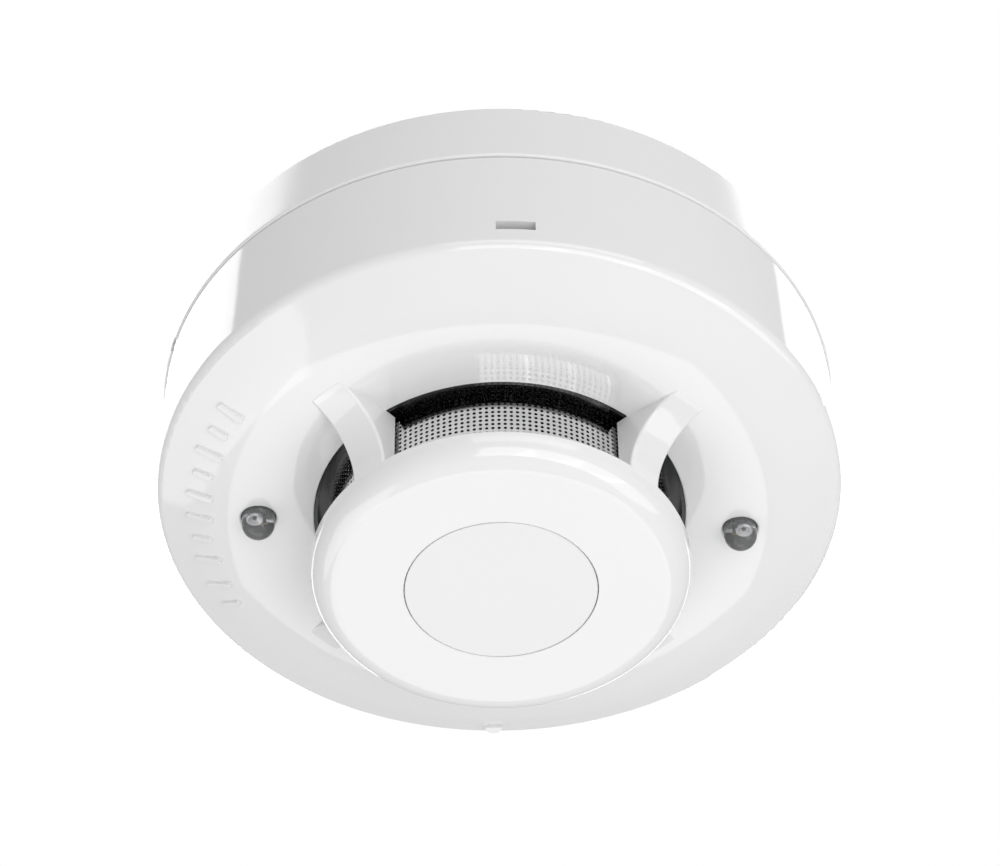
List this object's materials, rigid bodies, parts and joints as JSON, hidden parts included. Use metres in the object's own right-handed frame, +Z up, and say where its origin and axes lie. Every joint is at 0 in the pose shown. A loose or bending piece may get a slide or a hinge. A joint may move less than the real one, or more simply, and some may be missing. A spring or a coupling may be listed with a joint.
{
  "type": "smoke detector",
  "caption": "Ceiling smoke detector: finned round head with a perforated steel screen and clear indicator lamps, twist-locked onto a round mounting base.",
  "frame": {"origin": "centre of the base's ceiling face, midway between the two fixing slots", "axes": "+Z up into the ceiling, so the detector hangs towards -Z; the cover's tool slot faces -Y; the indicator lamps lie on the X axis"},
  "size_m": [0.1034, 0.1034, 0.0499],
  "materials": {
    "white_plastic": "white moulded ABS, light satin gloss",
    "cover_plastic": "white moulded ABS, light satin gloss",
    "insert_plastic": "white moulded ABS, slightly matter than the cover",
    "chassis_plastic": "white moulded ABS, unpolished",
    "nickel_plate": "nickel-plated brass, stamped",
    "steel_screws": "zinc-plated steel",
    "screen_steel": "bright perforated stainless steel",
    "black_plastic": "black moulded plastic, glossy",
    "louvre_plastic": "dark grey moulded plastic, matt",
    "tinted_epoxy": "blue-tinted epoxy",
    "dark_epoxy": "dark infra-red-passing epoxy",
    "tinned_steel": "tinned sheet steel",
    "board_laminate": "green solder mask on glass-epoxy board",
    "chip_epoxy": "black moulding epoxy",
    "aluminium_cans": "bare aluminium cans",
    "clear_epoxy": "water-clear epoxy",
    "slide_plastic": "black acetal",
    "spring_steel": "stainless spring wire",
    "brass": "bright brass"
  },
  "bodies": {
    "base": {"mounting_base": "white_plastic", "terminal_clamps": "nickel_plate", "terminal_screws": "steel_screws", "terminal_plate_1": "nickel_plate", "terminal_plate_2": "nickel_plate", "terminal_plate_3": "nickel_plate", "terminal_plate_4": "nickel_plate"},
    "head": {"outer_cover": "cover_plastic", "centre_insert": "insert_plastic", "chassis": "chassis_plastic", "insect_screen": "screen_steel", "chamber_body": "black_plastic", "labyrinth": "louvre_plastic", "emitter_lamp": "tinted_epoxy", "photodiode": "dark_epoxy", "photodiode_shield": "tinned_steel", "head_screws": "steel_screws", "chamber_screws": "steel_screws", "circuit_board": "board_laminate", "control_chip": "chip_epoxy", "capacitors": "aluminium_cans", "resistors": "chip_epoxy", "bridge_rectifier": "chip_epoxy", "indicator_lamp_left": "clear_epoxy", "indicator_lamp_right": "clear_epoxy", "slide_spring": "spring_steel", "contact_blade_1": "brass", "contact_blade_2": "brass", "contact_blade_3": "brass", "contact_blade_4": "brass"},
    "lock": {"lock_slide": "slide_plastic"}
  },
  "joints": [
    {"name": "head_twist", "type": "hinge", "parent": "base", "child": "head", "pos_m": [0, 0, 0], "axis": [0, 0, -1], "range_deg": [0, 20]},
    {"name": "lock_press", "type": "slide", "parent": "head", "child": "lock", "axis": [0, 1, 0], "range_m": [0, 0.0014], "deforming": ["slide_spring"]}
  ],
  "couplings": [
    {"joint": "lock_press", "follows": "head_twist", "m_per_rad": 0.00401}
  ]
}
